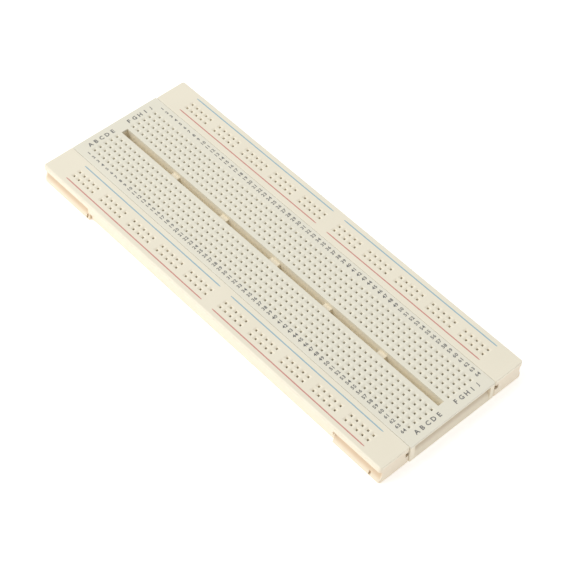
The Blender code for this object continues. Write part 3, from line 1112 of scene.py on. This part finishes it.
def printedLine(name, x, slip, body, material, seed):
    draw = random.Random(seed)
    shape = printShape
    half, rough = shape["lineWidth"] / 2, shape["lineEdge"]
    bm = bmesh.new()
    for sign in (1, -1):
        far, near = sorted((sign * shape["lineEnds"][0] + slip, sign * shape["lineEnds"][1] + slip))
        steps = shape["lineSteps"]
        left, right = [], []
        for step in range(steps + 1):
            y = far + (near - far) * step / steps
            trim = half * shape["lineTrim"] if step in (0, steps) else 0.0
            left.append((x - half + trim + draw.uniform(-rough, rough), y))
            right.append((x + half - trim + draw.uniform(-rough, rough), y))
        outline = left + right[::-1]
        stackLoops(bm, [[(*point, boardTop + z) for point in outline]
                        for z in (-shape["height"], shape["height"])])
    item = addObject(name, toMesh(name, bm), material)
    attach(item, body)


for name, side in (("left", -1), ("right", 1)):
    _, _, middle, slip = busPlace(name)
    lines = (("Red", printShape["redLine"], redInk, "red_ink"),
             ("Blue", printShape["blueLine"], blueInk, "blue_ink"))
    for seed, (colour, offset, material, slot) in enumerate(lines):
        printedLine(f"{name}{colour}Line", middle + offset, slip, f"{name}_bus_strip", material,
                    seed + 10 * side)
print("rail lines printed")


def glyphMesh(text, height):
    # one character as a thin closed mesh, standing on the origin's middle
    curve = bpy.data.curves.new("glyph", "FONT")
    curve.body = text
    curve.size = 1.0
    curve.offset = printShape["weight"]
    curve.resolution_u = 2
    curve.extrude = 0.5
    item = addObject("glyph", curve)
    mesh = evaluatedMesh(item)
    bpy.data.objects.remove(item, do_unlink=True)
    bpy.data.curves.remove(curve)
    xs = [vert.co.x for vert in mesh.vertices]
    ys = [vert.co.y for vert in mesh.vertices]
    middle = Vector(((max(xs) + min(xs)) / 2, (max(ys) + min(ys)) / 2, 0))
    size = height / (max(ys) - min(ys))
    scale = Matrix.Diagonal((size, size, 2 * printShape["height"], 1))
    mesh.transform(scale @ Matrix.Translation(-middle))
    return mesh


glyphs = {}


def addText(bm, text, x, y, height, step):
    for index, letter in enumerate(text):
        key = (letter, height)
        if key not in glyphs:
            glyphs[key] = glyphMesh(letter, height)
        at = x + (index - (len(text) - 1) / 2) * step
        mesh = glyphs[key].copy()
        mesh.transform(Matrix.Translation((at, y, boardTop)))
        bm.from_mesh(mesh)
        bpy.data.meshes.remove(mesh)


def labelPiece(name, bm):
    bmesh.ops.remove_doubles(bm, verts=bm.verts, dist=weldDistance)
    item = addObject(name, toMesh(name, bm), darkInk)
    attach(item, "terminal_strip")


for side, x in zip(("Left", "Right"), printShape["numberX"]):
    bm = bmesh.new()
    for row in range(board["rows"]):
        addText(bm, str(row + 1), x, rowY(row), printShape["digitHeight"],
                printShape["digitStep"])
    labelPiece(f"rowNumbers{side}", bm)
for end, name in ((1, "Far"), (-1, "Near")):
    bm = bmesh.new()
    for side, letters in ((-1, "ABCDE"), (1, "FGHIJ")):
        for index, letter in enumerate(letters):
            x = blockX(side) + index * pitch - contactSpan / 2 + printShape["letterShift"]
            addText(bm, letter, x, end * printShape["letterY"], printShape["letterHeight"], 0)
    labelPiece(f"columnLetters{name}", bm)
print("numbers and letters printed")


tapeShape = {
    "corner": 0.8 * mm,
    "bulge": 0.06 * mm,
    "foamTop": housingShape["underside"] - 0.01 * mm,
    "linerGap": 0.01 * mm,
    "cornerSteps": 5,
    "levels": (0.0, 0.12, 0.5, 0.88, 1.0),  # up its side, as parts of its height
}


def tapePiece(name, node, heights, body, material, bulge):
    low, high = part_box(node)
    outline = roundedOutline((low.x, high.x), (low.y, high.y), [tapeShape["corner"]] * 4,
                             [0.0] * 4, tapeShape["cornerSteps"])
    bottom, top = heights
    loops = []
    for part in tapeShape["levels"]:
        inset = bulge * (2 * abs(part - 0.5)) ** 2
        z = bottom + (top - bottom) * part
        loops.append([(*(point - outward * inset), z) for point, outward, _ in outline])
    item = addObject(name, solidMesh(name, loops), material)
    shadeEdges(item.data)
    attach(item, body)
    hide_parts(node)


for strip, body in (("terminal", "terminal_strip"), ("left_bus", "left_bus_strip"),
                    ("right_bus", "right_bus_strip")):
    title = strip.split("_")[0] + ("Bus" if "_" in strip else "")
    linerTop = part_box(f"{strip}_release_liner")[1].z
    tapePiece(f"{title}FoamTape", f"{strip}_foam_tape",
              (linerTop + tapeShape["linerGap"], tapeShape["foamTop"]), body, foamWhite,
              tapeShape["bulge"])
    tapePiece(f"{title}ReleaseLiner", f"{strip}_release_liner", (0.0, linerTop), body,
              linerPaper, 0.0)
print("tape laid")


studio = {
    "floorColour": (0.93, 0.93, 0.93),
    "floorSize": 3.0,
    "floorGrain": 900.0,
    "floorFleck": 1.02,  # how much brighter the lighter grains are
    "floorShader": {
        "Roughness": 0.9,
        "Specular IOR Level": 0.1,
        "Emission Color": (1, 1, 1, 1),
        "Emission Strength": 0.43,
    },
    "worldStrength": 0.66,
    "nearSky": (0.78, 0.71, 0.65),  # on the side of the last rows
    "farSky": (1.22, 1.28, 1.32),
    "skyTurn": (0.50, 0.87, 0.0),  # from the near side of the sky to the far one
    "keyPower": 16.0,
    "keySize": 1.0,
    "keyPlace": (-0.90, 0.76, 1.32),
    "keyColour": (1.0, 0.985, 0.955),
}


def addFloor():
    bm = bmesh.new()
    bmesh.ops.create_grid(bm, x_segments=8, y_segments=8, size=studio["floorSize"])
    material = bpy.data.materials.new("paleFloor")
    material.use_nodes = True
    tree = material.node_tree
    shader = tree.nodes["Principled BSDF"]
    place = tree.nodes.new("ShaderNodeTexCoord").outputs["Object"]
    noise = textureNode(tree, "ShaderNodeTexNoise", place, studio["floorGrain"],
                        Detail=3.0).outputs[0]
    bright = [part * studio["floorFleck"] for part in studio["floorColour"]]
    colour = mixColour(tree, noise, rgba(studio["floorColour"]), rgba(bright))
    tree.links.new(colour, shader.inputs["Base Color"])
    for label, value in studio["floorShader"].items():
        shader.inputs[label].default_value = value
    floor = addObject("floor", toMesh("floor", bm), material)


def addWorld():
    world = bpy.data.worlds.new("studio")
    world.use_nodes = True
    tree = world.node_tree
    background = tree.nodes["Background"]
    way = tree.nodes.new("ShaderNodeTexCoord").outputs["Generated"]
    turn = vectorMaths(tree, "DOT_PRODUCT", way, studio["skyTurn"])
    sky = mixColour(tree, remap(tree, turn, -1.0, 1.0), rgba(studio["nearSky"]),
                    rgba(studio["farSky"]))
    tree.links.new(sky, background.inputs["Color"])
    background.inputs["Strength"].default_value = studio["worldStrength"]
    bpy.context.scene.world = world


def addKeyLight():
    light = bpy.data.lights.new("keyLight", "AREA")
    light.shape = "SQUARE"
    light.size = studio["keySize"]
    light.energy = studio["keyPower"]
    light.color = studio["keyColour"]
    item = addObject("keyLight", light)
    item.location = studio["keyPlace"]
    item.rotation_euler = (-Vector(studio["keyPlace"])).to_track_quat("-Z", "Y").to_euler()


cameraView = {
    "place": (-0.26901, -0.28772, 0.47653),
    "forward": (0.43724, 0.45720, -0.77447),
    "right": (0.74081, -0.67136, 0.02187),
    "lens": 113.27,
    "sensor": 36.0,
    "shift": (-0.0009, 0.0009),
    "clip": (0.01, 20.0),
}


def addCamera():
    data = bpy.data.cameras.new("camera")
    data.sensor_width = cameraView["sensor"]
    data.lens = cameraView["lens"]
    data.shift_x, data.shift_y = cameraView["shift"]
    data.clip_start, data.clip_end = cameraView["clip"]
    camera = addObject("camera", data)
    back = -Vector(cameraView["forward"]).normalized()
    right = Vector(cameraView["right"]).normalized()
    up = back.cross(right).normalized()
    turn = Matrix((right, up, back)).transposed()
    camera.matrix_world = Matrix.Translation(cameraView["place"]) @ turn.to_4x4()
    bpy.context.scene.camera = camera


addFloor()
addWorld()
addKeyLight()
addCamera()
bpy.context.scene.view_settings.view_transform = "Standard"
print("studio ready")
